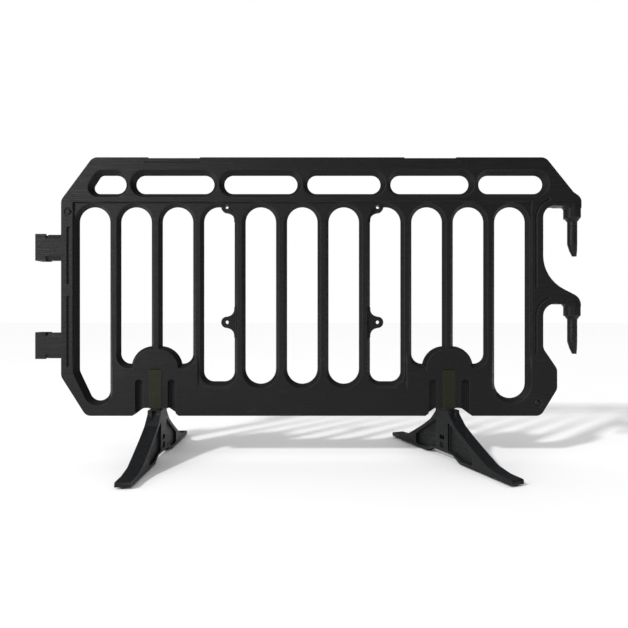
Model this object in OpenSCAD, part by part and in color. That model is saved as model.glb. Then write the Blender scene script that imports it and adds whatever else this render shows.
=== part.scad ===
// Interlocking crowd-control barrier: a hollow moulded panel on two swivelling anti-trip feet.
// Millimetres. +X runs along the panel towards the hooks, -Y is the front, +Z is up.
// The origin is under the middle of the whole barrier, at the level it stands on.

/* [Panel] */
// Height of the top edge above the ground
panel_top = 1104; // [1000:1:1300]
// Height of the bottom edge above the ground
panel_bottom = 158; // [150:1:165]
// Width over the two end posts, without hooks and eyes
panel_w = 1764; // [1750:1:1790]
// Thickness of the frame
frame_t = 50; // [44:1:60]
// Thickness of the grille bars
bar_t = 36; // [32:1:42]
// Wall of the hollow moulding
wall = 4; // [3:0.5:5]
// Sideways slope of the hole walls for each millimetre of depth
draft = 0.67; // [0.55:0.01:0.7]

/* [Grille] */
// Distance between neighbouring tall slots
slot_pitch = 153.4; // [150:0.1:155]
// Narrowest width of a tall slot
slot_w = 112.3; // [100:0.1:114]
// Height of the tall slots' tops below the panel's top edge
slot_drop = 178.7; // [170:0.1:190]
// Corner radius of the flat-bottomed slots
slot_corner_r = 37; // [25:1:45]
// Height of the three middle slots' bottoms
mid_slot_z = 273; // [255:1:300]
// Height of the flat bottoms beside the middle slots
side_slot_z = 282; // [265:1:310]
// Height of the flat bottoms over the feet
foot_slot_z = 347; // [345:1:360]
// Height of the first slot's pointed bottom
first_slot_z = 211; // [205:1:240]
// Height of the last slot's round bottom
last_slot_z = 220; // [212:1:245]

/* [Hand slots] */
// Narrowest height of the slots in the top rail
hand_slot_h = 67; // [60:1:72]
// Height of their middle below the panel's top edge
hand_slot_drop = 95.5; // [92:0.5:100]
// Web between two of them
hand_slot_web = 37.4; // [30:0.1:45]
// Length of the first hand slot
first_hand_l = 117; // [105:1:130]
// Length of the last hand slot
last_hand_l = 236; // [220:1:250]
// How much longer the outer long slots are than the middle two
hand_slot_step = 18; // [0:1:30]

/* [Lamp seats and sign ears] */
// Length of a lamp seat in the top edge
lamp_seat_l = 190; // [150:1:200]
// Depth of a lamp seat
lamp_seat_depth = 3; // [2:0.5:5]
// Distance of a lamp seat's middle from the grille's middle
lamp_seat_x = 469; // [440:1:500]
// Sideways distance between the sign holes
sign_spacing_x = 556; // [550:1:560]
// Upright distance between the sign holes
sign_spacing_z = 425; // [400:1:450]
// Height of the lower sign holes
sign_z = 500; // [450:1:520]
// Diameter of the sign holes
sign_hole_d = 13; // [8:0.5:14]

/* [Links] */
// Diameter of the linking pins
link_pin_d = 34.4; // [28:0.1:36]
// Length of a linking pin below its collar
link_pin_l = 128; // [110:1:140]
// Distance of the pin's axis from the end post
link_reach = 117.4; // [115:0.1:122]
// Distance between the two hooks, and between the two eyes
link_spacing = 360; // [350:1:370]
// Height of the lower hook's collar above the ground
hook_z = 511.5; // [505:0.5:520]
// Diameter of the collar over each pin
collar_d = 57; // [52:1:58]
// Length of an eye from the end post
eye_l = 94.5; // [90:0.5:100]
// Height of an eye
eye_h = 98; // [85:1:100]
// Height of the lower eye's underside
eye_z = 366; // [360:0.1:375]
// Radial play of a pin in an eye
link_play = 1.3; // [0.8:0.1:1.5]

/* [Feet] */
// Distance of a foot's axis from the grille's middle
foot_x = 536.9; // [535:0.1:539]
// Length of a foot from toe to toe
foot_l = 736; // [680:1:800]
// Thickness of a foot
foot_t = 48; // [46:1:54]
// Height of the neck on which the foot turns
foot_h = 180; // [178:0.5:181]
// Angle of the right foot as it stands
foot_turn = 21; // [0:1:60]
// Height of the rubber pads under a foot
pad_h = 5; // [3:0.5:7]
// Diameter of the rubber pads
pad_d = 20; // [16:1:24]

/* [Pivots] */
// Width of the pivot block
block_w = 46; // [42:1:50]
// Height of the pivot block
block_h = 145; // [135:1:150]
// Diameter of the pivot bolt
bolt_d = 16; // [14:0.5:18]
// Radial play of a foot on its bolt
bolt_play = 0.08; // [0.04:0.01:0.1]
// Play round the pivot block in its window
block_play = 0.3; // [0.2:0.05:0.4]
// Diameter of the screws that hold the block
screw_d = 5; // [4:0.5:6]

/* [Hidden] */
$fn = 64;

// Cutters run this far past the faces they open
over = 6;
// Grid of the outline: half widths and the ends of the whole barrier
post_x = panel_w / 2;
half_t = frame_t / 2;
link_pin_r = link_pin_d / 2;
collar_r = collar_d / 2;
hook_axis_x = post_x + link_reach;
hook_end_x = hook_axis_x + collar_r;
eye_end_x = -post_x - eye_l;
eye_axis_x = -post_x - eye_l * 0.66;
eye_r = link_pin_r + link_play;
// Flat end block of an eye, and the bevels of the neck behind it
eye_block_l = 38;
neck_bevel_z = 18;
neck_bevel_y = 11;
// The grille's middle stands left of the barrier's middle, because the hooks reach further than the eyes
grille_x = -(hook_end_x + eye_end_x) / 2;

slot_r = slot_w / 2;
slot_top = panel_top - slot_drop;
// Where a slot's round upper part hands over to its lower corners
slot_join = slot_top - 300;
grille_edge = 5 * slot_pitch + slot_r + draft * half_t;
// The first slot's slanted end stands steeper than the panel's own cut corner
point_rise = 20;
// The grille's faces lie this far inside the frame's
recess = (frame_t - bar_t) / 2;

// Lower corners and posts of the outline
corner_cut_w = 91;
corner_cut_h = 144;
shoulder_x = post_x + 51;
shoulder_z = panel_bottom + 172;

hand_z = panel_top - hand_slot_drop;
hand_r = hand_slot_h / 2;
hand_left = -post_x + 114;
hand_right = post_x + 6;
hand_start = hand_left + first_hand_l + hand_slot_web;
hand_mean_l = (hand_right - hand_start - last_hand_l - 4 * hand_slot_web) / 4;
// Lengths of the second to the last hand slot
hand_lengths = [
    hand_mean_l + hand_slot_step / 2, hand_mean_l - hand_slot_step / 2,
    hand_mean_l - hand_slot_step / 2, hand_mean_l + hand_slot_step / 2, last_hand_l
];

// Long grooves in the end posts, arched round the hooks at the right
post_groove_x = 26.2;
post_groove_depth = 5;
left_groove_r = 6;
left_groove_spans = [[342, 593], [645, 845]];
// The hollow stands back from the post grooves over this height and width
groove_land_span = [240, 1000];
groove_land_w = 28;
right_groove_low = [388, 632];
arc_groove_r = 4.4;
lamp_groove_z = panel_top - 18.4;
lamp_groove_depth = 3;
lamp_groove_r = 2.5;
lamp_groove_past = 12;
// Short grooves under the slots beside the middle three
short_groove_span = [273, 342];
short_groove_z = side_slot_z - 20;
short_groove_r = 2;
short_groove_depth = 2.5;

// Lugs round the sign holes, and the hollow that runs from them into the bar
ear_r = 21;
ear_foot_r = 26;

// Arched notch in the bottom edge over each foot
notch_half = 45;
notch_h = 29;
notch_flare = 41;
// Hump over each foot: two half rounds with a short flat top between them
hump_r = 81;
hump_flat = 28;
hump_z = panel_bottom + 173;
// Grooves beside each block
land_half = 45;
groove_w = 29;
groove_depth = 15;
groove_top = panel_bottom + 134;

block_z = foot_h + 5;
block_top = block_z + block_h;
block_bevel = 6;
block_corner = 7;
block_proud = 1.5;
flange_half = 41;
flange_t = 6;
flange_play = 0.3;
screw_r = screw_d / 2;
screw_head_r = screw_r * 1.9;
screw_head_h = 3;
screw_l = 26;
screw_x = (block_w / 2 + flange_half) / 2 + 1;
screw_zs = [block_z + 30, block_top - 30];

bolt_r = bolt_d / 2;
bolt_head_h = bolt_d * 0.625;
nut_h = bolt_d * 0.8;
hex_r = bolt_d * 0.866;
washer_t = 3;
washer_r = bolt_r * 1.85;
thrust_t = block_z - foot_h;
// The foot's core: a round pocket from below that takes the bolt's head
core_r = washer_r + 2;
core_top = 115;
washer_gap = 0.05;
washer_z = core_top - washer_gap - washer_t;
head_z = washer_z - bolt_head_h;
nut_z = block_top - 47;
bolt_end = nut_z + nut_h + 4;

foot_half = foot_l / 2;
neck_half = 40;
blade_half = foot_t / 2;
pad_r = pad_d / 2;
pad_seat = 6;
pad_places = [118, 200, 284, foot_half - 14];
// Pockets in a foot's sides, and its middle windows as [underside, height]: one through, one blind
pocket_depth = 9;
window_half = 15;
through_window = [69, 17];
blind_window = [37, 22];
blind_depth = 5;
// Tapered flute along the top of each toe
flute_tilt = 131;
flute_l = 118;
flute_r = 9.5;

// Cone and round part of the collar
collar_low = 15;
collar_h = 36;
shank_r = link_pin_r * 0.7;
shank_l = 55;
shank_play = 0.05;
arm_r = collar_r + 2;
pin_groove_w = 5;
pin_groove_depth = 2.5;

plug_places = [[-post_x + 27, panel_top - 199], [post_x - 20, panel_bottom + 47]];
plug_head_r = 10.5;
plug_shank_r = 6;
plug_ring_r = 16;
plug_ring_depth = 2.5;
plug_play = 0.05;

// ---------- outline helpers ----------

function unit(v) = v / norm(v);
function wrap(i, n) = (i + n) % n;

// Points of a closed outline whose vertices are [x, y, radius], each corner an arc of its radius
function rounded(pts, steps = 8) = [
    for (i = [0:len(pts) - 1])
        let (
            n = len(pts),
            p = [pts[i][0], pts[i][1]],
            a = unit([pts[wrap(i - 1, n)][0], pts[wrap(i - 1, n)][1]] - p),
            b = unit([pts[wrap(i + 1, n)][0], pts[wrap(i + 1, n)][1]] - p),
            half = acos(a * b) / 2,
            r = pts[i][2],
            c = p + unit(a + b) * r / sin(half),
            s = p + a * r / tan(half) - c,
            e = p + b * r / tan(half) - c,
            a0 = atan2(s[1], s[0]),
            turn = atan2(s[0] * e[1] - s[1] * e[0], s * e)
        )
        each r == 0 ? [p] : [for (k = [0:steps]) c + r * [cos(a0 + turn * k / steps), sin(a0 + turn * k / steps)]]
];

// The same vertices moved inwards by d, for an outline that runs anticlockwise
function inset(pts, d) = [
    for (i = [0:len(pts) - 1])
        let (
            n = len(pts),
            p = [pts[i][0], pts[i][1]],
            e1 = unit(p - [pts[wrap(i - 1, n)][0], pts[wrap(i - 1, n)][1]]),
            e2 = unit([pts[wrap(i + 1, n)][0], pts[wrap(i + 1, n)][1]] - p),
            n1 = [-e1[1], e1[0]],
            n2 = [-e2[1], e2[0]],
            convex = e1[0] * e2[1] - e1[1] * e2[0] > 0,
            q = p + (n1 + n2) * d / (1 + n1 * n2)
        )
        [q[0], q[1], max(convex ? pts[i][2] - d : pts[i][2] + d, 0)]
];

// ---------- drafted holes ----------
// The panel is drawn flat, x along it, y up it and z towards the front, and stood up at the end.

// Half outline of a hole that is narrowest, at half width r, on the parting plane
function throat(r, depth) = [[r + draft * depth, -depth], [r, 0], [r + draft * depth, depth]];

module throat_round(r, depth) {
    rotate_extrude()
        polygon(concat([[0, -depth]], throat(r, depth), [[0, depth]]));
}

module throat_run(p, q, r, depth) {
    side = throat(r, depth);
    translate([p[0], p[1], 0])
        rotate([0, 0, atan2(q[1] - p[1], q[0] - p[0])])
            rotate([90, 0, 90])
                linear_extrude(height = norm(q - p))
                    polygon(concat(side, [for (k = [2:-1:0]) [-side[k][0], side[k][1]]]));
}

// A hole round a chain of corner centres
module drafted_hole(centres, r, depth) {
    for (c = centres) {
        translate([c[0], c[1], 0])
            throat_round(r, depth);
    }
    for (k = [0:len(centres) - 2]) {
        throat_run(centres[k], centres[k + 1], r, depth);
    }
    if (len(centres) > 2) {
        linear_extrude(height = depth * 2, center = true)
            polygon(centres);
    }
}

// Corner centres of the tall slots' lower ends; a round end has one
function flat_foot(x, z, edge = slot_r - slot_corner_r) = [
    [x - edge, slot_join], [x - edge, z + slot_corner_r], [x + edge, z + slot_corner_r], [x + edge, slot_join]
];
function pointed_foot(x, z, edge = slot_r - slot_corner_r) = [
    [x - edge, slot_join],
    [x - edge, z + slot_corner_r + 2 * edge * corner_cut_h / corner_cut_w + point_rise],
    [x + edge, z + slot_corner_r],
    [x + edge, slot_join]
];
function slot_x(k) = (k - 6) * slot_pitch;
function flat_z(k) = (k == 4 || k == 8) ? side_slot_z : foot_slot_z;

module tall_slots(g, depth) {
    for (k = [1:11]) {
        x = slot_x(k);
        whole = (k >= 5 && k <= 7) || k == 11;
        low = k == 11 ? last_slot_z : mid_slot_z;
        low_centre = whole ? low + slot_r : slot_join;
        drafted_hole([[x, low_centre], [x, slot_top - slot_r]], slot_r + g, depth);
        if (k == 1) {
            drafted_hole(pointed_foot(x, first_slot_z), slot_corner_r + g, depth);
        } else if (!whole) {
            drafted_hole(flat_foot(x, flat_z(k)), slot_corner_r + g, depth);
        }
    }
}

// Left end of a long hand slot
function hand_slot_x(k) = k == 0 ? hand_start : hand_slot_x(k - 1) + hand_lengths[k - 1] + hand_slot_web;

// The first hand slot is short and has one corner cut to follow the panel's own
module hand_slots(g, depth) {
    nose_r = hand_r * 0.6;
    rise = hand_slot_h - 2 * nose_r;
    first_end = hand_left + first_hand_l - hand_r;
    drafted_hole([
        [first_end, hand_z - hand_r + nose_r],
        [hand_left + nose_r, hand_z - hand_r + nose_r],
        [hand_left + nose_r + rise * corner_cut_w / corner_cut_h, hand_z + hand_r - nose_r],
        [first_end, hand_z + hand_r - nose_r]
    ], nose_r + g, depth);
    translate([first_end, hand_z, 0])
        throat_round(hand_r + g, depth);
    for (k = [0:4]) {
        x = hand_slot_x(k);
        drafted_hole([[x + hand_r, hand_z], [x + hand_lengths[k] - hand_r, hand_z]], hand_r + g, depth);
    }
}

// Where the grille lies deeper than the frame: a step under the top rail, a long ramp at the bottom
module grille_recess(g) {
    face = half_t - recess - g;
    top = slot_top + draft * half_t + g;
    ramp = 70;
    for (part = [[0, 2.5, mid_slot_z + 45], [2.5, 5, foot_slot_z + 45]], side = [-1, 1]) {
        x0 = part[0] * slot_pitch;
        x1 = (part[1] == 5 ? grille_edge : part[1] * slot_pitch) + g;
        z = part[2];
        for (front = [-1, 1]) {
            translate([side > 0 ? x0 - 1 : -x1, 0, 0])
                rotate([90, 0, 90])
                    linear_extrude(height = x1 - x0 + 1)
                        polygon([
                            [z - ramp, front * (half_t + 1)],
                            [z - ramp, front * (half_t - g)],
                            [z, front * face],
                            [top - draft * recess, front * face],
                            [top, front * half_t],
                            [top, front * (half_t + 1)]
                        ]);
        }
    }
}

module hump(g) {
    low = hump_r - g;
    high = hump_r - g - draft * half_t * 0.75;
    for (side = [-1, 1], front = [0, 1]) {
        translate([side * foot_x, hump_z, 0])
            mirror([0, 0, front]) {
                for (end = [-1, 1]) {
                    translate([end * hump_flat / 2, 0, 0])
                        cylinder(h = half_t - g, r1 = low, r2 = high);
                }
                rotate([90, 0, 90])
                    linear_extrude(height = hump_flat, center = true)
                        polygon([[-low, 0], [low, 0], [high, half_t - g], [-high, half_t - g]]);
            }
    }
}

// ---------- panel ----------

arch_r = (link_reach - collar_r) / 2;
function hook_low(k) = hook_z + k * link_spacing;
function arch_z(k) = hook_low(k) + 12.5;

// Lower edge and shoulder of the frame, up to the gap of the lower hook
function lower_edge() = [
    [-post_x + corner_cut_w, panel_bottom, 32],
    [post_x - 9, panel_bottom, 32],
    [shoulder_x, panel_bottom + 98, 32],
    [shoulder_x, shoulder_z, 32],
    [post_x, shoulder_z + 75, 40]
];
function upper_left_edge() = [
    [-post_x + 115.6, panel_top, 34],
    [-post_x, panel_top - 156, 34],
    [-post_x, panel_bottom + corner_cut_h, 34]
];
// The frame without hooks and eyes, anticlockwise, each vertex with its corner radius
function frame_outline() = concat(
    lower_edge(),
    [[post_x, panel_top, 0]],
    upper_left_edge()
);
// The arched gap inside a hook and the flat end of its arm
function hook_gap(k) = [
    [post_x, arch_z(k) + arch_r, arch_r],
    [post_x + 2 * arch_r, arch_z(k) + arch_r, arch_r],
    [post_x + 2 * arch_r, hook_low(k) + 12, 0]
];
// The frame with both hooks: the lower one swells out of the post in one long hollow curve,
// and the upper one carries on the line of the panel's cut corner
function whole_outline() = concat(
    lower_edge(),
    hook_gap(0),
    [
        [hook_end_x - 8, hook_low(0) + 12, 0],
        [hook_end_x - 8, arch_z(0) + 66, 44],
        [post_x, arch_z(0) + 137, 138]
    ],
    hook_gap(1),
    [
        [hook_end_x - 6, hook_low(1) + 12, 0],
        [hook_end_x - 6, panel_top - 147, 30],
        [hook_end_x - 35, panel_top - 127, 12],
        [post_x + 9, panel_top, 34]
    ],
    upper_left_edge()
);

// Round collar over a pin: its lower edge is cut back to the pin's own size
module collar(k) {
    translate([hook_axis_x, hook_low(k), 0])
        rotate([-90, 0, 0]) {
            cylinder(h = collar_low, r1 = link_pin_r + 1, r2 = collar_r);
            translate([0, 0, collar_low])
                cylinder(h = collar_h, r = collar_r);
            translate([0, 0, collar_low + collar_h])
                cylinder(h = 20, r1 = collar_r, r2 = half_t - 2);
        }
}

// Takes the corners off a hook's arm, so that the flat arm turns into the round collar.
// The outer side flares slowly into the flat; the inner side stops at the crown of the arch.
module arm_rounding(k) {
    round_top = collar_low + collar_h;
    outside_r = arm_r + 46;
    translate([hook_axis_x, hook_low(k), 0])
        rotate([-90, 0, 0]) {
            rotate_extrude()
                polygon([
                    [arm_r, -over], [arm_r, round_top - 6], [arm_r + 7, round_top + 4],
                    [outside_r, round_top + 4], [outside_r, -over]
                ]);
            rotate([0, 0, -90])
                rotate_extrude(angle = 180)
                    polygon([
                        [arm_r, 0], [arm_r, round_top - 10], [arm_r + 34, round_top + 62],
                        [outside_r, round_top + 62], [outside_r, 0]
                    ]);
        }
}

module eyes() {
    neck_l = eye_l - eye_block_l;
    for (k = [0, 1]) {
        translate([0, eye_z + k * link_spacing, 0]) {
            translate([eye_end_x, 0, -half_t])
                cube([eye_block_l, eye_h, frame_t]);
            translate([eye_end_x + eye_block_l - 1, 0, 0])
                rotate([90, 0, 90])
                    linear_extrude(height = neck_l + 11)
                        polygon([
                            [neck_bevel_z, -half_t], [eye_h - neck_bevel_z, -half_t],
                            [eye_h - 2, neck_bevel_y - half_t], [eye_h - 2, half_t - neck_bevel_y],
                            [eye_h - neck_bevel_z, half_t], [neck_bevel_z, half_t],
                            [2, half_t - neck_bevel_y], [2, neck_bevel_y - half_t]
                        ]);
        }
    }
}

// Rounded lug on the outer side of a bar, with a hollow foot that runs out along the bar.
// The upper pair hangs below the top rail, so it has the lower foot alone.
module sign_ears() {
    bar_side = 1.5 * slot_pitch + (slot_pitch - slot_w) / 2;
    root = 6;
    foot_z = ear_r + 8;
    reach = foot_z + ear_foot_r;
    lower = [
        [bar_side - root, -reach - root, 0],
        [bar_side + 0.5, -reach, 0],
        [bar_side + 0.5, -foot_z, ear_foot_r],
        [sign_spacing_x / 2, -ear_r + 0.3, 0]
    ];
    upper = [for (k = [3:-1:0]) [lower[k][0], -lower[k][1], lower[k][2]]];
    flat_end = [[sign_spacing_x / 2, 0, 0], [bar_side - root, 0, 0]];
    for (side = [-1, 1], row = [0, 1]) {
        translate([0, sign_z + row * sign_spacing_z, -bar_t / 4])
            mirror([side > 0 ? 0 : 1, 0, 0]) {
                linear_extrude(height = bar_t / 2)
                    polygon(rounded(concat(lower, row == 0 ? upper : flat_end)));
                translate([sign_spacing_x / 2, 0, 0])
                    cylinder(h = bar_t / 2, r = ear_r);
            }
    }
}

// Round-ended groove in both faces between two points
module face_groove(centres, r, depth) {
    for (front = [-1, 1]) {
        translate([0, 0, front * half_t]) {
            for (c = centres) {
                translate([c[0], c[1], 0])
                    cylinder(h = depth * 2, r = r, center = true);
            }
            translate([centres[0][0], centres[0][1], 0])
                rotate([0, 0, atan2(centres[1][1] - centres[0][1], centres[1][0] - centres[0][0])])
                    translate([0, -r, -depth])
                        cube([norm(centres[1] - centres[0]), 2 * r, depth * 2]);
        }
    }
}

module decorative_grooves() {
    left = -post_x + post_groove_x;
    right = post_x - post_groove_x;
    for (span = left_groove_spans) {
        face_groove([[left, span[0]], [left, span[1]]], left_groove_r, post_groove_depth);
    }
    for (k = [0, 1]) {
        face_groove([[right, right_groove_low[k]], [right, arch_z(k) + 2]], arc_groove_r - 0.2, post_groove_depth);
        for (front = [-1, 1]) {
            translate([post_x + arch_r, arch_z(k), front * half_t])
                rotate([0, 0, 106])
                    rotate_extrude(angle = 74)
                        translate([arch_r + post_groove_x - arc_groove_r, -post_groove_depth])
                            square([2 * arc_groove_r, 2 * post_groove_depth]);
        }
    }
    for (side = [-1, 1]) {
        face_groove([
            [side * (lamp_seat_x - lamp_seat_l / 2), lamp_groove_z],
            [side * (lamp_seat_x + lamp_seat_l / 2 + lamp_groove_past), lamp_groove_z]
        ], lamp_groove_r, lamp_groove_depth);
        face_groove(
            [[side * short_groove_span[0], short_groove_z], [side * short_groove_span[1], short_groove_z]],
            short_groove_r, short_groove_depth);
    }
}

module lamp_seats() {
    for (side = [-1, 1]) {
        translate([side * lamp_seat_x - lamp_seat_l / 2, panel_top - lamp_seat_depth, -half_t - over])
            cube([lamp_seat_l, lamp_seat_depth + over, frame_t + 2 * over]);
    }
}

// Everything at a foot: the arched notch, the block's window, its flange seat and the grooves beside it
module foot_socket(side) {
    translate([side * foot_x, 0, 0]) {
        linear_extrude(height = frame_t + 2 * over, center = true)
            polygon(rounded([
                [-notch_half - notch_flare, panel_bottom - over, 0],
                [notch_half + notch_flare, panel_bottom - over, 0],
                [notch_half + notch_flare, panel_bottom, 8],
                [notch_half, panel_bottom + notch_h, 34],
                [-notch_half, panel_bottom + notch_h, 34],
                [-notch_half - notch_flare, panel_bottom, 8]
            ]));
        linear_extrude(height = frame_t + 2 * over, center = true)
            polygon(block_outline(block_play));
        translate([-flange_half - flange_play, panel_bottom, -half_t - over])
            cube([2 * (flange_half + flange_play), block_top + flange_play - panel_bottom + 8,
                flange_t + flange_play + over]);
        for (s = [-1, 1]) {
            for (z = screw_zs) {
                translate([s * screw_x, z, -half_t])
                    cylinder(h = screw_l + 3, r = screw_r + 0.05);
            }
            for (front = [-1, 1]) {
                translate([s * (land_half + groove_w / 2), 0, front * half_t]) {
                    translate([0, groove_top - groove_w / 2, 0])
                        cylinder(h = groove_depth * 2, r = groove_w / 2, center = true);
                    translate([-groove_w / 2, panel_bottom - over, -groove_depth])
                        cube([groove_w, groove_top - groove_w / 2 - panel_bottom + over, groove_depth * 2]);
                }
            }
        }
    }
}

// Front view of the pivot block, grown by its play
function block_outline(play) = rounded([
    [-block_w / 2 - play, block_z - (play > 0 ? 40 : 0), 0],
    [block_w / 2 + play, block_z - (play > 0 ? 40 : 0), 0],
    [block_w / 2 + play, block_top + play, block_corner],
    [-block_w / 2 - play, block_top + play, block_corner]
]);

// The frame and grille, moved inwards by g on every side
module grille_form(g) {
    slope_g = g * norm([1, draft]);
    difference() {
        union() {
            difference() {
                linear_extrude(height = frame_t - 2 * g, center = true)
                    polygon(g > 0 ? rounded(inset(frame_outline(), g)) : rounded(whole_outline()));
                tall_slots(slope_g, half_t + 1);
                grille_recess(g);
            }
            hump(g);
        }
        hand_slots(slope_g, half_t + 1);
    }
}

// The hollow keeps out of every place that holds a piece
module cavity() {
    difference() {
        grille_form(wall);
        for (side = [-1, 1]) {
            translate([side * foot_x, panel_bottom + 85, 0])
                cube([2 * (notch_half + notch_flare + wall), 200, frame_t], center = true);
        }
        translate([post_x + 90, 560, 0])
            cube([200, 1200, frame_t], center = true);
        decorative_lands();
    }
}

// Backing of one wall's thickness behind a groove, in both faces
module groove_backing(centre, size, depth) {
    for (front = [-1, 1]) {
        translate([centre[0], centre[1], front * (half_t - (depth + wall) / 2)])
            cube([size[0] + 2 * wall, size[1] + 2 * wall, depth + wall], center = true);
    }
}

// What the hollow leaves standing behind grooves, lamp seats, plugs and sign holes
module decorative_lands() {
    post_land_z = (groove_land_span[0] + groove_land_span[1]) / 2;
    post_land_h = groove_land_span[1] - groove_land_span[0];
    lamp_land_l = lamp_seat_l + lamp_groove_past + 4;
    short_land_x = (short_groove_span[0] + short_groove_span[1]) / 2;
    short_land_l = short_groove_span[1] - short_groove_span[0] + 2 * short_groove_r;
    for (side = [-1, 1]) {
        groove_backing([side * (post_x - post_groove_x), post_land_z],
            [groove_land_w, post_land_h], post_groove_depth);
        groove_backing([side * (lamp_seat_x + lamp_groove_past / 2), lamp_groove_z],
            [lamp_land_l, 2 * lamp_groove_r], lamp_groove_depth);
        groove_backing([side * short_land_x, short_groove_z],
            [short_land_l, 2 * short_groove_r], short_groove_depth);
        translate([side * lamp_seat_x, panel_top, 0])
            cube([lamp_seat_l + 2 * wall, 2 * (lamp_seat_depth + wall), frame_t], center = true);
    }
    for (p = plug_places) {
        translate([p[0], p[1], 0])
            cylinder(h = frame_t, r = plug_ring_r + wall, center = true);
    }
    for (side = [-1, 1], row = [0, 1]) {
        translate([side * sign_spacing_x / 2, sign_z + row * sign_spacing_z, 0])
            cylinder(h = frame_t, r = sign_hole_d / 2 + wall, center = true);
    }
}

module panel_flat() {
    difference() {
        union() {
            difference() {
                grille_form(0);
                arm_rounding(0);
                arm_rounding(1);
            }
            collar(0);
            collar(1);
            eyes();
            sign_ears();
        }
        cavity();
        lamp_seats();
        decorative_grooves();
        for (side = [-1, 1]) {
            foot_socket(side);
            for (row = [0, 1]) {
                translate([side * sign_spacing_x / 2, sign_z + row * sign_spacing_z, 0])
                    cylinder(h = frame_t + over, r = sign_hole_d / 2, center = true);
            }
        }
        for (k = [0, 1]) {
            translate([eye_axis_x, eye_z + k * link_spacing - over, 0])
                rotate([-90, 0, 0])
                    cylinder(h = eye_h + 2 * over, r = eye_r);
            translate([hook_axis_x, hook_low(k) - 1, 0])
                rotate([-90, 0, 0])
                    cylinder(h = shank_l + 2, r = shank_r + shank_play);
        }
        for (p = plug_places) {
            translate([p[0], p[1], half_t - plug_ring_depth])
                cylinder(h = plug_ring_depth + over, r = plug_ring_r);
            translate([p[0], p[1], half_t - 16])
                cylinder(h = 16, r = plug_shank_r + plug_play);
        }
    }
}

module stand_up() {
    translate([grille_x, 0, 0])
        rotate([90, 0, 0])
            children();
}

module panel_body() {
    color([0.13, 0.13, 0.135])
        stand_up()
            panel_flat();
}

// ---------- links and plugs ----------

// Pin with a shank up into the collar, a side groove and a tip that leans towards its outer side
module link_pin(k) {
    taper_l = 46;
    straight = link_pin_l - taper_l;
    color([0.16, 0.16, 0.165])
        translate([grille_x + hook_axis_x, 0, hook_low(k)]) {
            cylinder(h = shank_l, r = shank_r);
            difference() {
                translate([0, 0, -straight])
                    cylinder(h = straight, r = link_pin_r);
                rotate([0, 0, 24])
                    translate([-pin_groove_w / 2, -link_pin_r - over, -straight + 16])
                        cube([pin_groove_w, over + pin_groove_depth, straight - 21]);
            }
            hull() {
                translate([0, 0, -straight - 1])
                    cylinder(h = 1, r = link_pin_r, $fn = 32);
                translate([link_pin_r * 0.2, 0, -straight - taper_l * 0.55])
                    cylinder(h = 1, r = link_pin_r * 0.78, $fn = 32);
                translate([link_pin_r * 0.45, 0, -link_pin_l])
                    cylinder(h = 1, r = link_pin_r * 0.45, $fn = 32);
            }
        }
}

module moulding_plug(p) {
    dome_h = 5;
    color([0.12, 0.12, 0.125])
        stand_up()
            translate([p[0], p[1], half_t - plug_ring_depth]) {
                translate([0, 0, -12])
                    cylinder(h = 12, r = plug_shank_r);
                difference() {
                    translate([0, 0, dome_h - plug_head_r * 1.35])
                        sphere(r = plug_head_r * 1.35);
                    translate([0, 0, -plug_head_r * 3])
                        cylinder(h = plug_head_r * 3, r = plug_head_r * 2);
                }
            }
}

// ---------- pivots ----------

module at_foot(side) {
    translate([grille_x + side * foot_x, 0, 0])
        children();
}

module pivot_block(side) {
    front_y = -half_t - block_proud;
    back_y = half_t - flange_t;
    color([0.17, 0.18, 0.13])
        at_foot(side)
            difference() {
                union() {
                    translate([0, back_y + 1, 0])
                        rotate([90, 0, 0])
                            linear_extrude(height = back_y + 1 - front_y)
                                polygon(block_outline(0));
                    translate([0, half_t, 0])
                        rotate([90, 0, 0])
                            linear_extrude(height = flange_t)
                                polygon(rounded([
                                    [-flange_half, panel_bottom + notch_h, 4],
                                    [flange_half, panel_bottom + notch_h, 4],
                                    [flange_half, block_top + 6, 10],
                                    [-flange_half, block_top + 6, 10]
                                ]));
                }
                translate([-block_w, front_y, block_top - block_bevel])
                    rotate([45, 0, 0])
                        cube([block_w * 2, block_bevel * 2, block_bevel * 2]);
                translate([0, 0, block_z - over])
                    cylinder(h = block_h, r = bolt_r + bolt_play);
                translate([0, 0, nut_z])
                    rotate([0, 0, 30])
                        cylinder(h = block_h, r = hex_r + 0.2, $fn = 6);
                for (s = [-1, 1], z = screw_zs) {
                    translate([s * screw_x, half_t + over, z])
                        rotate([90, 0, 0]) {
                            cylinder(h = screw_head_h + over, r = screw_head_r + 0.1);
                            cylinder(h = flange_t + 2 * over, r = screw_r + 0.1);
                        }
                }
            }
}

module block_screws(side) {
    color("silver")
        at_foot(side)
            for (s = [-1, 1], z = screw_zs) {
                translate([s * screw_x, half_t, z])
                    rotate([90, 0, 0])
                        difference() {
                            union() {
                                cylinder(h = screw_head_h, r = screw_head_r);
                                cylinder(h = screw_l, r = screw_r);
                            }
                            translate([0, 0, -1])
                                cylinder(h = 2.8, r = screw_r * 0.8, $fn = 6);
                        }
            }
}

module pivot_bolt(side) {
    color("silver")
        at_foot(side) {
            translate([0, 0, head_z])
                rotate([0, 0, 30])
                    cylinder(h = bolt_head_h, r = hex_r, $fn = 6);
            translate([0, 0, head_z])
                cylinder(h = bolt_end - head_z, r = bolt_r);
        }
}

module pivot_nut(side) {
    color("silver")
        at_foot(side)
            translate([0, 0, nut_z])
                difference() {
                    rotate([0, 0, 30])
                        cylinder(h = nut_h, r = hex_r, $fn = 6);
                    translate([0, 0, -1])
                        cylinder(h = nut_h + 2, r = bolt_r + 0.05);
                }
}

module washer(z, t, r) {
    translate([0, 0, z])
        difference() {
            cylinder(h = t, r = r);
            translate([0, 0, -1])
                cylinder(h = t + 2, r = bolt_r + 0.3);
        }
}

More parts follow.
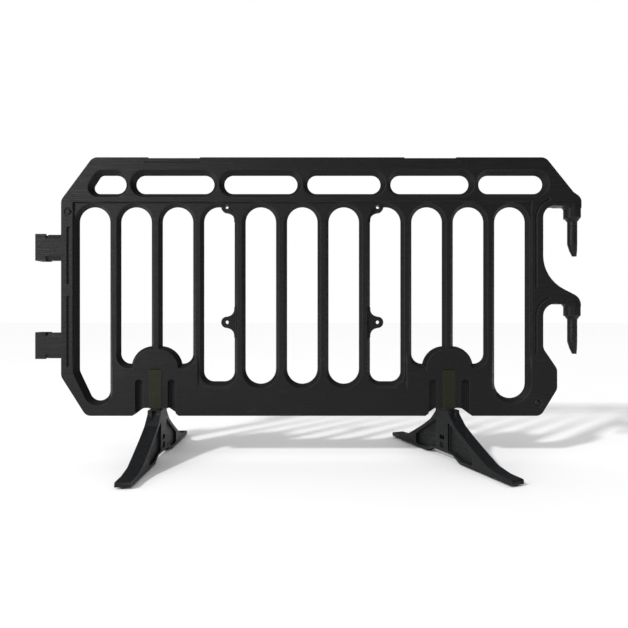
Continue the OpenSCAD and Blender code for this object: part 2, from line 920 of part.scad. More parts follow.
module bolt_washer(side) {
    color("silver")
        at_foot(side)
            washer(washer_z, washer_t, washer_r);
}

module thrust_washer(side) {
    color([0.75, 0.74, 0.7])
        at_foot(side)
            washer(foot_h, thrust_t, blade_half - 2);
}

// ---------- feet ----------

// Side view of a foot from its middle to one toe: reach from the axis, height
function toe_top() = [
    [neck_half, foot_h - 12, 14], [neck_half + 37, 130, 40], [136, 95, 60], [196, 63, 60],
    [253, 34, 50], [foot_half - 60, 23, 40], [foot_half, 21, 7]
];
module foot_side() {
    top = toe_top();
    n = len(top);
    half_up = [for (k = [n - 1:-1:0]) top[k]];
    left_up = [for (k = [0:n - 1]) [-top[k][0], top[k][1], top[k][2]]];
    polygon(rounded(concat(
        [[-106, pad_h, 6], [-65, 25, 10], [65, 25, 10], [106, pad_h, 6], [foot_half, pad_h, 4]],
        half_up,
        [[neck_half, foot_h, 3], [-neck_half, foot_h, 3]],
        left_up,
        [[-foot_half, pad_h, 4]]
    )));
}

// Recess between the ribs of one toe's side
function pocket_outline(s) = rounded(s > 0
    ? [[36, 34, 5], [72, 30, 6], [112, 16, 6], [178, 16, 6], [178, 56, 5], [84, 110, 8], [36, 140, 5]]
    : [[-36, 34, 5], [-36, 140, 5], [-84, 110, 8], [-178, 56, 5], [-178, 16, 6], [-112, 16, 6], [-72, 30, 6]]);

module foot_form() {
    difference() {
        rotate([90, 0, 90])
            linear_extrude(height = foot_t, center = true)
                foot_side();
        for (s = [-1, 1], face = [-1, 1]) {
            translate([face * (blade_half + over - pocket_depth / 2 - over / 2), 0, 0])
                rotate([90, 0, 90])
                    linear_extrude(height = pocket_depth + over, center = true)
                        polygon(pocket_outline(s));
        }
        translate([-blade_half - 1, -window_half, through_window[0]])
            cube([foot_t + 2, 2 * window_half, through_window[1]]);
        for (face = [-1, 1]) {
            translate([face * blade_half - blind_depth, -window_half, blind_window[0]])
                cube([2 * blind_depth, 2 * window_half, blind_window[1]]);
        }
        cylinder(h = core_top, r = core_r);
        translate([0, 0, core_top - 1])
            cylinder(h = foot_h, r = bolt_r + bolt_play);
        for (s = [-1, 1]) {
            translate([0, s * (neck_half - 4), foot_h - 3])
                rotate([s * -flute_tilt, 0, 0])
                    cylinder(h = flute_l, r1 = flute_r, r2 = 1);
            for (y = pad_places) {
                translate([0, s * y, 0])
                    cylinder(h = pad_h + pad_seat, r = pad_r * 0.6 + 0.05);
            }
        }
    }
}

module foot(side) {
    color([0.12, 0.125, 0.12])
        at_foot(side)
            rotate([0, 0, side > 0 ? foot_turn : 0])
                foot_form();
}

// Rubber pads: a round tread with a stem pushed up into the foot
module foot_pads(side) {
    color([0.08, 0.08, 0.08])
        at_foot(side)
            rotate([0, 0, side > 0 ? foot_turn : 0])
                for (s = [-1, 1], y = pad_places) {
                    translate([0, s * y, 0]) {
                        cylinder(h = 1.2, r1 = pad_r - 1.2, r2 = pad_r);
                        translate([0, 0, 1.2])
                            cylinder(h = pad_h - 1.2, r = pad_r);
                        cylinder(h = pad_h + pad_seat - 0.3, r = pad_r * 0.6);
                    }
                }
}

panel_body();
link_pin(1);  // link_pin_upper
link_pin(0);  // link_pin_lower
moulding_plug(plug_places[0]);  // moulding_plug_upper
moulding_plug(plug_places[1]);  // moulding_plug_lower
pivot_block(-1);  // pivot_block_left
pivot_block(1);  // pivot_block_right
block_screws(-1);  // block_screws_left
block_screws(1);  // block_screws_right
pivot_bolt(-1);  // pivot_bolt_left
pivot_bolt(1);  // pivot_bolt_right
pivot_nut(-1);  // pivot_nut_left
pivot_nut(1);  // pivot_nut_right
bolt_washer(-1);  // bolt_washer_left
bolt_washer(1);  // bolt_washer_right
thrust_washer(-1);  // thrust_washer_left
thrust_washer(1);  // thrust_washer_right
foot(-1);  // foot_left
foot(1);  // foot_right
foot_pads(-1);  // foot_pads_left
foot_pads(1);  // foot_pads_right
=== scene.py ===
import math

import bpy
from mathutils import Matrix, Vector


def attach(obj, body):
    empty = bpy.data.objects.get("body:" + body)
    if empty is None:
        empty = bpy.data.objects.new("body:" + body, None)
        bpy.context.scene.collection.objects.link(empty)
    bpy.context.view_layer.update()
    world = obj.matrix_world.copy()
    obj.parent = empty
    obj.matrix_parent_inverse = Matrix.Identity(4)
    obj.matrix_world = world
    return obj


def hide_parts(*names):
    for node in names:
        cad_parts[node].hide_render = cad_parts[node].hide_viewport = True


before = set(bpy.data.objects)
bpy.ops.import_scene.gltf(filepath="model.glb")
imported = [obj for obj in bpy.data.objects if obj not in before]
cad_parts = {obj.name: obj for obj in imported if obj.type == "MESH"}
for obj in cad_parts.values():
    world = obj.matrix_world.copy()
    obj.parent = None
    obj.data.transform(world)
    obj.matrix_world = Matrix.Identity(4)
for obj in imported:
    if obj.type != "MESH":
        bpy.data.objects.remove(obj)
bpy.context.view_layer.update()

bl_info = {
    "name": "Crowd control barrier",
    "version": (1, 0, 0),
    "blender": (4, 5, 0),
    "location": "3D View > Sidebar > Barrier",
    "description": "Finishes a linked crowd control barrier: panel, turning feet, pivots, links and studio",
    "category": "Object",
}

# The names that paired nodes share
SIDES = ("left", "right")
LEVELS = ("upper", "lower")

# Modelling, in metres and degrees: how far apart doubled vertices may lie, how far two faces may tilt
# and still be one flat, and past which angle an edge stays sharp in shading and is bevelled
DOUBLES = 0.00002
FLAT_ANGLE = 1.0
MOULDED_SHARP = 28.0
PLUG_SHARP = 35.0
PIN_SHARP = 50.0
EDGE_SEGMENTS = 2

# Moulded plastic: how many times wider than high its flow streaks and scratches are, the depth of its
# relief and the height above the ground up to which it gets more scuffs, both in metres
STREAK_STRETCH = 32.0
SCRATCH_STRETCH = 3.4
PLASTIC_SPECULAR = 0.21
PLASTIC_RELIEF = 0.0030
SCUFF_REACH = 0.8
EDGE_SAMPLES = 6

# Relief of the other finishes, in metres
RUBBER_RELIEF = 0.00018
PLATING_RELIEF = 0.00005
NYLON_RELIEF = 0.00004
PAINT_RELIEF = 0.00005
SMEAR_STRETCH = 4.0

# Colours that age the surfaces, some partly painted light: dust with a painted top light, a painted warm
# tone on faces that look down, and rubbed edges with a painted highlight
DUST_AND_TOP_LIGHT = (0.034, 0.036, 0.040)
PAINTED_UNDERSIDE_TONE = (0.010, 0.009, 0.008)
SCUFF = (0.055, 0.055, 0.054)
RUBBED_EDGE_AND_HIGHLIGHT = (0.046, 0.048, 0.050)
GRIT = (0.16, 0.15, 0.135)
TARNISH = (0.30, 0.29, 0.26)

# The studio, in metres: the floor's side and how far it lies under the pads, where the lights stand and
# what they face, and the camera's place along the panel
FLOOR_SIDE = 60.0
FLOOR_DROP = 0.0006
FLOOR_CUTS = 8
KEY_PLACE = (-3.0, -3.0, 3.2)
KEY_TARGET = (0.0, 0.0, 0.3)
SOFT_BOX_PLACE = (-3.4, -2.2, 1.3)
SOFT_BOX_TARGET = (-0.6, 0.0, 0.7)
SOFT_BOX_SIDE = 1.6
CAMERA_X = 0.0176

# The walls' colours as dull surfaces, glossy surfaces and the camera see them
WALL_LIGHT = (0.99, 0.99, 1.0)
WALL_SHEEN = (0.94, 0.97, 1.0)
WALL_WHITE = (1.0, 1.0, 1.0)


# ---------- shader maths ----------

class Value:
    """A node socket that takes part in Python arithmetic: each operator adds a Math node."""

    def __init__(self, tree, socket):
        self.tree = tree
        self.socket = socket

    def math(self, operation, first, second):
        node = self.tree.nodes.new("ShaderNodeMath")
        node.operation = operation
        for index, item in enumerate((first, second)):
            if isinstance(item, Value):
                self.tree.links.new(item.socket, node.inputs[index])
            else:
                node.inputs[index].default_value = item
        return Value(self.tree, node.outputs[0])

    def __add__(self, other):
        return self.math("ADD", self, other)

    def __radd__(self, other):
        return self.math("ADD", other, self)

    def __sub__(self, other):
        return self.math("SUBTRACT", self, other)

    def __rsub__(self, other):
        return self.math("SUBTRACT", other, self)

    def __mul__(self, other):
        return self.math("MULTIPLY", self, other)

    def __rmul__(self, other):
        return self.math("MULTIPLY", other, self)

    def __pow__(self, other):
        return self.math("POWER", self, other)

    def __rpow__(self, other):
        return self.math("POWER", other, self)

    def held(self):
        """The value kept between 0 and 1."""
        return self.math("MINIMUM", self.math("MAXIMUM", self, 0.0), 1.0)


class Finish:
    """A material under construction: constants sit on its shader, and one method adds any node."""

    def __init__(self, name, **constants):
        self.material = bpy.data.materials.new(name)
        self.material.use_nodes = True
        self.tree = self.material.node_tree
        self.tree.nodes.clear()
        output = self.tree.nodes.new("ShaderNodeOutputMaterial")
        self.shader = self.tree.nodes.new("ShaderNodeBsdfPrincipled")
        self.tree.links.new(self.shader.outputs[0], output.inputs[0])
        for socket, value in constants.items():
            self.shader.inputs[socket.replace("_", " ")].default_value = value

    def node(self, kind, settings=None, inputs=None, output=0):
        """Add a node of a kind: settings first, then its sockets' values or links."""
        node = self.tree.nodes.new("ShaderNode" + kind)
        for name, value in (settings or {}).items():
            if name == "stops":
                self.set_stops(node.color_ramp, value)
            else:
                setattr(node, name, value)
        for name, value in (inputs or {}).items():
            if isinstance(value, Value):
                self.tree.links.new(value.socket, node.inputs[name])
            else:
                node.inputs[name].default_value = value
        return Value(self.tree, node.outputs[output])

    @staticmethod
    def set_stops(ramp, stops):
        """Give a ramp its stops: pairs of a place and a grey level."""
        while len(ramp.elements) < len(stops):
            ramp.elements.new(1.0)
        for element, (place, level) in zip(ramp.elements, stops):
            element.position = place
            element.color = (level, level, level, 1.0)

    def feed(self, **links):
        """Link values to the shader's sockets and hand over the finished material."""
        for socket, value in links.items():
            self.tree.links.new(value.socket, self.shader.inputs[socket.replace("_", " ")])
        return self.material

    def place(self, scale=(1.0, 1.0, 1.0)):
        """Object coordinates, stretched by scale."""
        where = self.node("TexCoord", output="Object")
        return self.node("Mapping", inputs={"Vector": where, "Scale": scale})

    def noise(self, scale, detail=3.0, rough=0.5, widen=1.0):
        """Noise from 0 to 1: scale patches to the metre, each widen times wider than it is high."""
        return self.node("TexNoise", inputs={
            "Vector": self.place((1.0, 1.0, widen)), "Scale": scale, "Detail": detail, "Roughness": rough,
        })

    def ramp(self, value, *stops):
        """The value passed through a ramp of grey levels."""
        return self.node("ValToRGB", {"stops": stops}, {"Fac": value})

    def blend(self, factor, first, second):
        """A colour between two colours."""
        # The Mix node repeats its sockets' names for each data type, so its colour sockets go by number
        return self.node("Mix", {"data_type": "RGBA"}, {0: factor, 6: first, 7: second}, output=2)

    def rounded_normal(self, radius):
        """The surface's normal with its edges rounded to a radius."""
        return self.node("Bevel", {"samples": EDGE_SAMPLES}, {"Radius": radius})

    def edge_wear_and_highlight(self, rounded):
        """1 where the rounded normal turns away from the face, 0 on the flats."""
        flat = self.node("NewGeometry", output="Normal")
        facing = self.node("VectorMath", {"operation": "DOT_PRODUCT"}, {0: rounded, 1: flat},
                           output="Value")
        return ((1.0 - facing) * 5.0).held()

    def bump(self, height, depth, normal=None):
        """Surface relief of that depth in metres, laid on a normal."""
        inputs = {"Strength": 1.0, "Distance": depth, "Height": height}
        if normal:
            inputs["Normal"] = normal
        return self.node("Bump", inputs=inputs)

    def rise(self):
        """1 on faces that look up, 0 on upright ones and -1 on faces that look down."""
        normal = self.node("NewGeometry", output="Normal")
        return self.node("SeparateXYZ", inputs={"Vector": normal}, output="Z")

    def height(self):
        """Height above the ground in metres."""
        where = self.node("TexCoord", output="Object")
        return self.node("SeparateXYZ", inputs={"Vector": where}, output="Z")


def rgba(colour, gain=1.0):
    """A colour with its alpha, made lighter or darker by gain."""
    return (colour[0] * gain, colour[1] * gain, colour[2] * gain, 1.0)


def moulded_plastic(name, colour, edge, roughness, wear=0.0):
    """Satin polyethylene: flow streaks, a faint bloom, dust with a painted top light on ledges, a painted
    warm tone on faces that look down, low scuffs, and rubbed edges with a painted highlight.

    edge is the radius of its rounded edges, and wear adds scuffs all over.
    """
    finish = Finish(name, Specular_IOR_Level=PLASTIC_SPECULAR)
    cloud = finish.noise(2.3, 4.0, 0.55)
    streak = finish.noise(8.0, 4.0, 0.6, STREAK_STRETCH)
    grain = finish.noise(620.0, 2.0, 0.6)
    scratch_field = finish.noise(7.0, 6.0, 0.72, SCRATCH_STRETCH)

    # Scuffs are few high up and more near the ground
    scuff = finish.ramp(scratch_field, (0.60, 0.0), (0.72, 1.0))
    low = (1.0 - finish.height() * (1.0 / SCUFF_REACH)).held()
    marks = (scuff * (low * 0.5 + (0.12 + wear))).held()

    # From the plastic's own colour up: dust with a painted top light on top, a painted warm tone below,
    # scuffs, and edges rubbed pale with a painted highlight
    tone = (cloud * 0.55 + streak * 0.45).held()
    body = finish.blend(tone, rgba(colour, 0.72), rgba(colour, 1.32))
    rise = finish.rise()
    # Faces that look up turn lighter and bluer: partly dust, partly a painted top light
    dusty_and_top_lit = finish.blend((rise.held() ** 3.0 * 0.25).held(), body, rgba(DUST_AND_TOP_LIGHT))
    # Painted light: faces that look down get a warm tone for how light falls on them
    painted_underside = finish.blend(((0.0 - rise).held() * 0.6).held(), dusty_and_top_lit, rgba(PAINTED_UNDERSIDE_TONE))
    scuffed = finish.blend(marks * 0.30, painted_underside, rgba(SCUFF))
    rounded = finish.rounded_normal(edge)
    # Edges turn paler: partly rubbed wear, partly a painted highlight
    rubbed_and_highlit = finish.edge_wear_and_highlight(rounded) * (0.35 + scratch_field * 0.5)
    worn_and_highlit = finish.blend(rubbed_and_highlit.held(), scuffed, rgba(RUBBED_EDGE_AND_HIGHLIGHT))

    dullness = roughness + (cloud - 0.5) * 0.10 + (streak - 0.5) * 0.60 + marks * 0.18 - rubbed_and_highlit * 0.08
    relief = streak * 0.55 + grain * 0.22 + scratch_field * 0.2
    return finish.feed(Base_Color=worn_and_highlit, Roughness=dullness.held(),
                       Normal=finish.bump(relief, PLASTIC_RELIEF, rounded))


def rubber(name, colour):
    """Dull rubber with pale grit caught in its grain."""
    finish = Finish(name)
    grain = finish.noise(900.0, 3.0, 0.7)
    patch = finish.noise(38.0, 3.0, 0.6)
    grit = finish.ramp(finish.noise(260.0, 2.0), (0.62, 0.0), (0.70, 1.0))
    body = finish.blend(patch, rgba(colour, 0.7), rgba(colour, 1.5))
    dusted = finish.blend(grit * 0.5, body, rgba(GRIT))
    return finish.feed(Base_Color=dusted, Roughness=(0.78 + patch * 0.15).held(),
                       Normal=finish.bump(grain * 0.6 + patch * 0.4, RUBBER_RELIEF))


def zinc_steel(name, colour):
    """Zinc-plated steel: crystal spangle, smears and patches of dull tarnish."""
    finish = Finish(name)
    spangle = finish.node("TexVoronoi", inputs={"Vector": finish.place(), "Scale": 520.0})
    smear = finish.noise(130.0, 4.0, 0.6, SMEAR_STRETCH)
    tarnish = finish.ramp(finish.noise(70.0, 5.0, 0.65), (0.52, 0.0), (0.74, 1.0))
    body = finish.blend(spangle, rgba(colour, 0.85), rgba(colour, 1.1))
    aged = finish.blend(tarnish * 0.45, body, rgba(TARNISH))
    return finish.feed(Base_Color=aged, Metallic=(1.0 - tarnish * 0.35).held(),
                       Roughness=(0.26 + smear * 0.22 + tarnish * 0.2).held(),
                       Normal=finish.bump(smear, PLATING_RELIEF))


def nylon(name, colour):
    """Slippery nylon, faintly clouded."""
    finish = Finish(name)
    cloud = finish.noise(55.0, 3.0)
    grain = finish.noise(800.0, 2.0)
    body = finish.blend(cloud, rgba(colour, 0.82), rgba(colour, 1.12))
    return finish.feed(Base_Color=body, Roughness=(0.38 + cloud * 0.16).held(),
                       Normal=finish.bump(grain, NYLON_RELIEF))


def floor_paint(name, colour):
    """Plain matt paint with a fine grain."""
    finish = Finish(name)
    cloud = finish.noise(0.9, 4.0, 0.5)
    grain = finish.noise(140.0, 3.0)
    body = finish.blend(cloud, rgba(colour, 0.985), rgba(colour, 1.0))
    return finish.feed(Base_Color=body, Roughness=(0.72 + grain * 0.12).held(),
                       Normal=finish.bump(grain, PAINT_RELIEF))


# ---------- modelling ----------

def take(obj):
    """Make obj the one selected and active object."""
    bpy.ops.object.select_all(action="DESELECT")
    obj.select_set(True)
    bpy.context.view_layer.objects.active = obj


def merge_up(obj, flatten):
    """Merge a CAD copy's doubled vertices into one closed skin. With flatten, each flat is one face."""
    take(obj)
    bpy.ops.mesh.customdata_custom_splitnormals_clear()
    bpy.ops.object.mode_set(mode="EDIT")
    bpy.ops.mesh.select_all(action="SELECT")
    bpy.ops.mesh.remove_doubles(threshold=DOUBLES)
    if flatten:
        bpy.ops.mesh.dissolve_degenerate(threshold=DOUBLES)
        bpy.ops.mesh.dissolve_limited(angle_limit=math.radians(FLAT_ANGLE))
    bpy.ops.object.mode_set(mode="OBJECT")


def round_edges(obj, radius, sharp):
    """Round every edge of obj that is sharper than the given angle."""
    take(obj)
    bevel = obj.modifiers.new("round", "BEVEL")
    bevel.limit_method = "ANGLE"
    bevel.angle_limit = math.radians(sharp)
    bevel.width = radius
    bevel.segments = EDGE_SEGMENTS
    bevel.use_clamp_overlap = False
    bevel.miter_outer = "MITER_ARC"
    bevel.harden_normals = True
    bpy.ops.object.modifier_apply(modifier=bevel.name)


def dressed_copy(node, name, material, radius=0.0, sharp=MOULDED_SHARP):
    """A piece made from a CAD node: merged, smooth up to the sharp angle, and given its material.

    A radius bevels its sharp edges. Without one the mesh keeps the node's shape, and a moulded plastic
    rounds the edges in its shading.
    """
    piece = bpy.data.objects.new(name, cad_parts[node].data.copy())
    bpy.context.collection.objects.link(piece)
    piece.data.materials.clear()
    piece.data.materials.append(material)
    merge_up(piece, flatten=radius > 0)
    bpy.ops.object.shade_smooth_by_angle(angle=math.radians(sharp))
    if radius > 0:
        round_edges(piece, radius, sharp)
    return piece


def fit(piece, body, node):
    """Tell the frame what a piece rides on, and hide the node it stands for."""
    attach(piece, body)
    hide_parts(node)


# ---------- properties ----------

class BarrierShape(bpy.types.PropertyGroup):
    """How far the pieces' edges are rounded"""
    panel_edge: bpy.props.FloatProperty(
        name="Panel edge", description="Radius of the panel's moulded edges",
        default=0.0030, min=0.0005, max=0.006, subtype="DISTANCE", unit="LENGTH")
    pin_edge: bpy.props.FloatProperty(
        name="Pin edge", description="Radius of the edges of linking pins and plugs",
        default=0.0022, min=0.0005, max=0.004, subtype="DISTANCE", unit="LENGTH")
    foot_edge: bpy.props.FloatProperty(
        name="Foot edge", description="Radius of the feet's moulded edges",
        default=0.0024, min=0.0005, max=0.004, subtype="DISTANCE", unit="LENGTH")
    block_edge: bpy.props.FloatProperty(
        name="Block edge", description="Radius of the pivot blocks' edges",
        default=0.0024, min=0.0005, max=0.003, subtype="DISTANCE", unit="LENGTH")
    metal_edge: bpy.props.FloatProperty(
        name="Metal edge", description="Radius of the edges of bolts, nuts, screws and washers",
        default=0.0004, min=0.0001, max=0.001, subtype="DISTANCE", unit="LENGTH")
    pad_edge: bpy.props.FloatProperty(
        name="Pad edge", description="Radius of the edges of the pads under the feet",
        default=0.0004, min=0.0001, max=0.001, subtype="DISTANCE", unit="LENGTH")


class BarrierFinish(bpy.types.PropertyGroup):
    """The colours of the barrier's plastics, rubber and metal"""
    panel_colour: bpy.props.FloatVectorProperty(
        name="Panel colour", description="Colour of the panel's plastic",
        default=(0.0050, 0.0050, 0.0053), min=0.0, max=1.0, subtype="COLOR")
    pin_colour: bpy.props.FloatVectorProperty(
        name="Pin colour", description="Colour of the linking pins and plugs",
        default=(0.0055, 0.0057, 0.0060), min=0.0, max=1.0, subtype="COLOR")
    block_colour: bpy.props.FloatVectorProperty(
        name="Block colour", description="Colour of the pivot blocks",
        default=(0.0090, 0.0105, 0.0030), min=0.0, max=1.0, subtype="COLOR")
    foot_colour: bpy.props.FloatVectorProperty(
        name="Foot colour", description="Colour of the feet's plastic",
        default=(0.0040, 0.0046, 0.0046), min=0.0, max=1.0, subtype="COLOR")
    rubber_colour: bpy.props.FloatVectorProperty(
        name="Rubber colour", description="Colour of the pads under the feet",
        default=(0.0120, 0.0120, 0.0120), min=0.0, max=1.0, subtype="COLOR")
    steel_colour: bpy.props.FloatVectorProperty(
        name="Steel colour", description="Colour of the zinc-plated steel",
        default=(0.58, 0.60, 0.62), min=0.0, max=1.0, subtype="COLOR")
    nylon_colour: bpy.props.FloatVectorProperty(
        name="Nylon colour", description="Colour of the thrust washers",
        default=(0.040, 0.040, 0.038), min=0.0, max=1.0, subtype="COLOR")


class BarrierStage(bpy.types.PropertyGroup):
    """The studio's floor, lights and camera"""
    floor_colour: bpy.props.FloatVectorProperty(
        name="Floor colour", description="Colour of the studio floor",
        default=(0.92, 0.92, 0.92), min=0.0, max=1.0, subtype="COLOR")
    key_strength: bpy.props.FloatProperty(
        name="Key light", description="Strength of the key light at the front left",
        default=2.4, min=0.0, max=20.0)
    key_width: bpy.props.FloatProperty(
        name="Key width", description="Apparent width of the key light, which softens the shadows",
        default=math.radians(5.0), min=0.0, max=math.pi, subtype="ANGLE", unit="ROTATION")
    side_power: bpy.props.FloatProperty(
        name="Side light", description="Power of the soft box at the left, which shows on glossy surfaces",
        default=45.0, min=0.0, max=1000.0, subtype="POWER", unit="POWER")
    fill: bpy.props.FloatProperty(
        name="Fill", description="Brightness of the studio's walls as dull surfaces see them",
        default=0.74, min=0.0, max=2.0)
    sheen: bpy.props.FloatProperty(
        name="Sheen", description="Brightness of the studio's walls as glossy surfaces see them",
        default=0.12, min=0.0, max=2.0)
    view_height: bpy.props.FloatProperty(
        name="View height", description="Height of the camera above the floor",
        default=0.5307, min=0.1, max=3.0, subtype="DISTANCE", unit="LENGTH")
    view_distance: bpy.props.FloatProperty(
        name="View distance", description="Distance of the camera in front of the panel",
        default=2.0, min=1.0, max=10.0, subtype="DISTANCE", unit="LENGTH")
    lens: bpy.props.FloatProperty(
        name="Lens", description="Focal length of the camera, in millimetres",
        default=30.955, min=10.0, max=200.0, subtype="DISTANCE_CAMERA", unit="CAMERA")
    sensor: bpy.props.FloatProperty(
        name="Sensor", description="Width of the camera's sensor, in millimetres",
        default=36.0, min=10.0, max=70.0, subtype="DISTANCE_CAMERA", unit="CAMERA")


# ---------- operators ----------

class BARRIER_OT_panel_shell(bpy.types.Operator):
    """Give the moulded panel streaked black polyethylene with rounded edges"""
    bl_idname = "barrier.panel_shell"
    bl_label = "Panel shell"

    def execute(self, context):
        scene = context.scene
        skin = moulded_plastic("panel_skin", scene.barrier_finish.panel_colour,
                               scene.barrier_shape.panel_edge, roughness=0.44)
        panel = dressed_copy("panel_body", "panel_shell", skin)
        fit(panel, "panel", "panel_body")
        return {"FINISHED"}


class BARRIER_OT_linking_pins(bpy.types.Operator):
    """Finish both linking pins under the hooks"""
    bl_idname = "barrier.linking_pins"
    bl_label = "Linking pins"

    def execute(self, context):
        scene = context.scene
        skin = moulded_plastic("pin_skin", scene.barrier_finish.pin_colour,
                               scene.barrier_shape.pin_edge, roughness=0.27, wear=0.02)
        for level in LEVELS:
            node = "link_pin_" + level
            pin = dressed_copy(node, "linking_pin_" + level, skin, sharp=PIN_SHARP)
            fit(pin, "panel", node)
        return {"FINISHED"}


class BARRIER_OT_moulding_plugs(bpy.types.Operator):
    """Finish the domed plugs that close the moulding's blow holes"""
    bl_idname = "barrier.moulding_plugs"
    bl_label = "Moulding plugs"

    def execute(self, context):
        scene = context.scene
        skin = moulded_plastic("plug_skin", scene.barrier_finish.pin_colour,
                               scene.barrier_shape.pin_edge, roughness=0.36, wear=0.05)
        for level in LEVELS:
            node = "moulding_plug_" + level
            plug = dressed_copy(node, "blow_plug_" + level, skin, sharp=PLUG_SHARP)
            fit(plug, "panel", node)
        return {"FINISHED"}


class BARRIER_OT_pivot_blocks(bpy.types.Operator):
    """Give the pivot blocks over both feet their olive plastic"""
    bl_idname = "barrier.pivot_blocks"
    bl_label = "Pivot blocks"

    def execute(self, context):
        scene = context.scene
        skin = moulded_plastic("block_skin", scene.barrier_finish.block_colour,
                               scene.barrier_shape.block_edge, roughness=0.40)
        for side in SIDES:
            node = "pivot_block_" + side
            block = dressed_copy(node, "pivot_housing_" + side, skin)
            fit(block, "panel", node)
        return {"FINISHED"}


class BARRIER_OT_pivot_hardware(bpy.types.Operator):
    """Round and finish the bolts, nuts, screws and washers of both pivots"""
    bl_idname = "barrier.pivot_hardware"
    bl_label = "Pivot hardware"

    def execute(self, context):
        finish, edge = context.scene.barrier_finish, context.scene.barrier_shape.metal_edge
        steel = zinc_steel("zinc_plate", finish.steel_colour)
        slip = nylon("thrust_nylon", finish.nylon_colour)
        metal = {"pivot_bolt": "swivel_bolt", "pivot_nut": "swivel_nut",
                 "block_screws": "housing_screws", "bolt_washer": "swivel_washer"}
        for side in SIDES:
            for node, piece in metal.items():
                part = dressed_copy(f"{node}_{side}", f"{piece}_{side}", steel, edge)
                fit(part, "panel", f"{node}_{side}")
            ring = dressed_copy("thrust_washer_" + side, "slip_ring_" + side, slip, edge)
            fit(ring, "panel", "thrust_washer_" + side)
        return {"FINISHED"}


class BARRIER_OT_swivel_feet(bpy.types.Operator):
    """Give the two anti-trip feet scuffed black plastic with rounded edges"""
    bl_idname = "barrier.swivel_feet"
    bl_label = "Swivel feet"

    def execute(self, context):
        scene = context.scene
        skin = moulded_plastic("foot_skin", scene.barrier_finish.foot_colour,
                               scene.barrier_shape.foot_edge, roughness=0.42, wear=0.05)
        for side in SIDES:
            node = "foot_" + side
            foot = dressed_copy(node, "swivel_foot_" + side, skin)
            fit(foot, node, node)
        return {"FINISHED"}


class BARRIER_OT_rubber_pads(bpy.types.Operator):
    """Round and finish the rubber pads under the feet"""
    bl_idname = "barrier.rubber_pads"
    bl_label = "Rubber pads"

    def execute(self, context):
        scene = context.scene
        tread = rubber("pad_tread", scene.barrier_finish.rubber_colour)
        for side in SIDES:
            node = "foot_pads_" + side
            pads = dressed_copy(node, "tread_pads_" + side, tread, scene.barrier_shape.pad_edge)
            fit(pads, "foot_" + side, node)
        return {"FINISHED"}


def aimed_light(name, kind, place, target, **values):
    """A light of a kind that stands at place and shines at target."""
    light = bpy.data.lights.new(name, kind)
    for setting, value in values.items():
        setattr(light, setting, value)
    obj = bpy.data.objects.new(name, light)
    bpy.context.collection.objects.link(obj)
    obj.location = place
    obj.rotation_euler = (Vector(target) - Vector(place)).to_track_quat("-Z", "Y").to_euler()


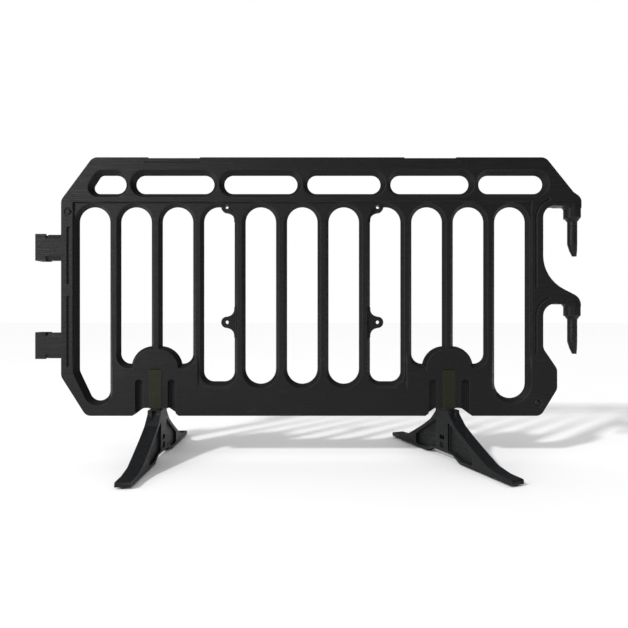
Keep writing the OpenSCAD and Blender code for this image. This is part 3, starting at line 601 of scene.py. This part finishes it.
class BARRIER_OT_studio(bpy.types.Operator):
    """Set up the pale floor, the soft lights and the camera"""
    bl_idname = "barrier.studio"
    bl_label = "Studio"

    def execute(self, context):
        scene = context.scene
        stage = scene.barrier_stage
        self.floor(stage)
        aimed_light("key_light", "SUN", KEY_PLACE, KEY_TARGET,
                    energy=stage.key_strength, angle=stage.key_width)
        aimed_light("left_soft_box", "AREA", SOFT_BOX_PLACE, SOFT_BOX_TARGET,
                    shape="SQUARE", size=SOFT_BOX_SIDE, energy=stage.side_power)
        self.walls(scene, stage)
        self.camera(scene, stage)
        scene.view_settings.view_transform = "Standard"
        return {"FINISHED"}

    @staticmethod
    def floor(stage):
        """A pale painted floor just under the pads."""
        bpy.ops.object.select_all(action="DESELECT")
        bpy.ops.mesh.primitive_plane_add(size=FLOOR_SIDE, location=(0.0, 0.0, -FLOOR_DROP))
        floor = bpy.context.object
        floor.name = "studio_floor"
        bpy.ops.object.mode_set(mode="EDIT")
        bpy.ops.mesh.subdivide(number_cuts=FLOOR_CUTS)
        bpy.ops.object.mode_set(mode="OBJECT")
        floor.data.materials.append(floor_paint("studio_floor", stage.floor_colour))

    @staticmethod
    def walls(scene, stage):
        """White behind the barrier, and softer greys all round for its light and reflections."""
        world = bpy.data.worlds.new("studio_walls")
        scene.world = world
        world.use_nodes = True
        tree = world.node_tree
        tree.nodes.clear()
        rays = tree.nodes.new("ShaderNodeLightPath")
        output = tree.nodes.new("ShaderNodeOutputWorld")

        def wall(colour, strength):
            node = tree.nodes.new("ShaderNodeBackground")
            node.inputs["Color"].default_value = rgba(colour)
            node.inputs["Strength"].default_value = strength
            return node.outputs[0]

        def choose(ray, first, second):
            node = tree.nodes.new("ShaderNodeMixShader")
            tree.links.new(rays.outputs[ray], node.inputs[0])
            tree.links.new(first, node.inputs[1])
            tree.links.new(second, node.inputs[2])
            return node.outputs[0]

        light = choose("Is Glossy Ray", wall(WALL_LIGHT, stage.fill), wall(WALL_SHEEN, stage.sheen))
        seen = choose("Is Camera Ray", light, wall(WALL_WHITE, 1.0))
        tree.links.new(seen, output.inputs[0])

    @staticmethod
    def camera(scene, stage):
        """The scene's camera, level and square to the front of the panel."""
        lens = bpy.data.cameras.new("front_camera")
        camera = bpy.data.objects.new("front_camera", lens)
        bpy.context.collection.objects.link(camera)
        lens.sensor_width = stage.sensor
        lens.lens = stage.lens
        camera.location = (CAMERA_X, -stage.view_distance, stage.view_height)
        camera.rotation_euler = (math.radians(90.0), 0.0, 0.0)
        scene.camera = camera


class BARRIER_PT_sidebar(bpy.types.Panel):
    """Lists the barrier's sizes, colours and pieces"""
    bl_label = "Crowd control barrier"
    bl_idname = "BARRIER_PT_sidebar"
    bl_space_type = "VIEW_3D"
    bl_region_type = "UI"
    bl_category = "Barrier"

    def draw(self, context):
        scene = context.scene
        for group in (scene.barrier_shape, scene.barrier_finish, scene.barrier_stage):
            box = self.layout.box()
            for name in group.__annotations__:
                box.prop(group, name)
        for operator in OPERATORS:
            self.layout.operator(operator.bl_idname)


OPERATORS = (
    BARRIER_OT_panel_shell, BARRIER_OT_linking_pins, BARRIER_OT_moulding_plugs,
    BARRIER_OT_pivot_blocks, BARRIER_OT_pivot_hardware, BARRIER_OT_swivel_feet,
    BARRIER_OT_rubber_pads, BARRIER_OT_studio,
)
GROUPS = {
    "barrier_shape": BarrierShape,
    "barrier_finish": BarrierFinish,
    "barrier_stage": BarrierStage,
}


def register():
    for name, group in GROUPS.items():
        bpy.utils.register_class(group)
        setattr(bpy.types.Scene, name, bpy.props.PointerProperty(type=group))
    for operator in OPERATORS:
        bpy.utils.register_class(operator)
    bpy.utils.register_class(BARRIER_PT_sidebar)


def unregister():
    bpy.utils.unregister_class(BARRIER_PT_sidebar)
    for operator in reversed(OPERATORS):
        bpy.utils.unregister_class(operator)
    for name, group in GROUPS.items():
        delattr(bpy.types.Scene, name)
        bpy.utils.unregister_class(group)


def main():
    """Make every piece and the studio."""
    register()
    for operator in OPERATORS:
        family, action = operator.bl_idname.split(".")
        if getattr(getattr(bpy.ops, family), action)() != {"FINISHED"}:
            raise RuntimeError(operator.bl_label + " could not finish")


if __name__ == "__main__":
    main()
